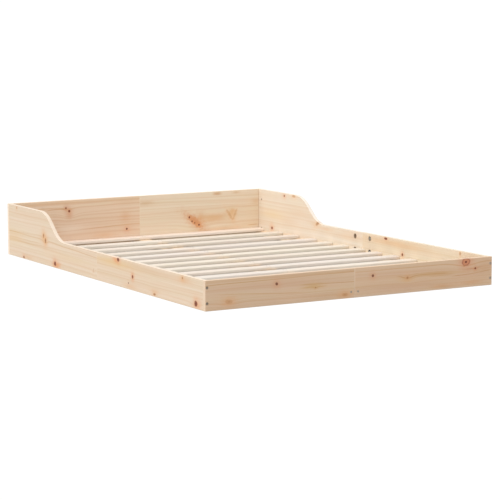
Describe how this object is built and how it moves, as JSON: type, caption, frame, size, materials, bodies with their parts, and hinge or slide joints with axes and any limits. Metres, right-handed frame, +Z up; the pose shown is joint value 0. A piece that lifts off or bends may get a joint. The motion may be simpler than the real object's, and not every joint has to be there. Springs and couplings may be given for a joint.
{
  "type": "low floor bed frame",
  "caption": "Low solid pine bed frame that stands on the floor, with raised headboard and sides that sweep down in a wave, and screwed slats for a double mattress.",
  "frame": {"origin": "on the floor, under the middle of the frame", "axes": "+X to the right seen from the foot, +Y along the length towards the headboard, +Z up"},
  "size_m": [1.455, 2.055, 0.255],
  "materials": {
    "pine_board": "planed and sanded, untreated solid pine with knots, matt",
    "pine_slat": "sanded pale pine with rounded long edges, untreated, matt",
    "pine_rail": "planed untreated pine, matt",
    "beech_dowel": "plain turned dowel, matt",
    "black_bolt": "dark bronze coating, satin",
    "zinc_screw": "zinc plated, satin",
    "zinc_connector": "zinc plated, satin"
  },
  "bodies": {
    "root": {"headboard_left": "pine_board", "headboard_right": "pine_board", "footboard_left": "pine_board", "footboard_right": "pine_board", "side_board_left_head": "pine_board", "side_board_left_foot": "pine_board", "side_board_right_head": "pine_board", "side_board_right_foot": "pine_board", "slat_rail_left_head": "pine_rail", "slat_rail_left_foot": "pine_rail", "slat_rail_right_head": "pine_rail", "slat_rail_right_foot": "pine_rail", "center_beam_head": "pine_rail", "center_beam_foot": "pine_rail", "beam_pad_head": "pine_rail", "beam_pad_middle": "pine_rail", "beam_pad_foot": "pine_rail", "slat_01_left": "pine_slat", "slat_01_right": "pine_slat", "slat_02_left": "pine_slat", "slat_02_right": "pine_slat", "slat_03_left": "pine_slat", "slat_03_right": "pine_slat", "slat_04_left": "pine_slat", "slat_04_right": "pine_slat", "slat_05_left": "pine_slat", "slat_05_right": "pine_slat", "slat_06_left": "pine_slat", "slat_06_right": "pine_slat", "slat_07_left": "pine_slat", "slat_07_right": "pine_slat", "slat_08_left": "pine_slat", "slat_08_right": "pine_slat", "slat_09_left": "pine_slat", "slat_09_right": "pine_slat", "slat_10_left": "pine_slat", "slat_10_right": "pine_slat", "slat_11_left": "pine_slat", "slat_11_right": "pine_slat", "slat_12_left": "pine_slat", "slat_12_right": "pine_slat", "slat_13_left": "pine_slat", "slat_13_right": "pine_slat", "corner_bolts": "black_bolt", "barrel_nuts": "zinc_connector", "corner_dowels": "beech_dowel", "connector_bolts": "zinc_connector", "crescent_washers": "zinc_connector", "connector_nuts": "zinc_connector", "joint_dowels": "beech_dowel", "beam_end_screws": "black_bolt", "slat_screws": "zinc_screw", "rail_screws": "zinc_screw", "pad_screws": "zinc_screw"}
  },
  "joints": []
}
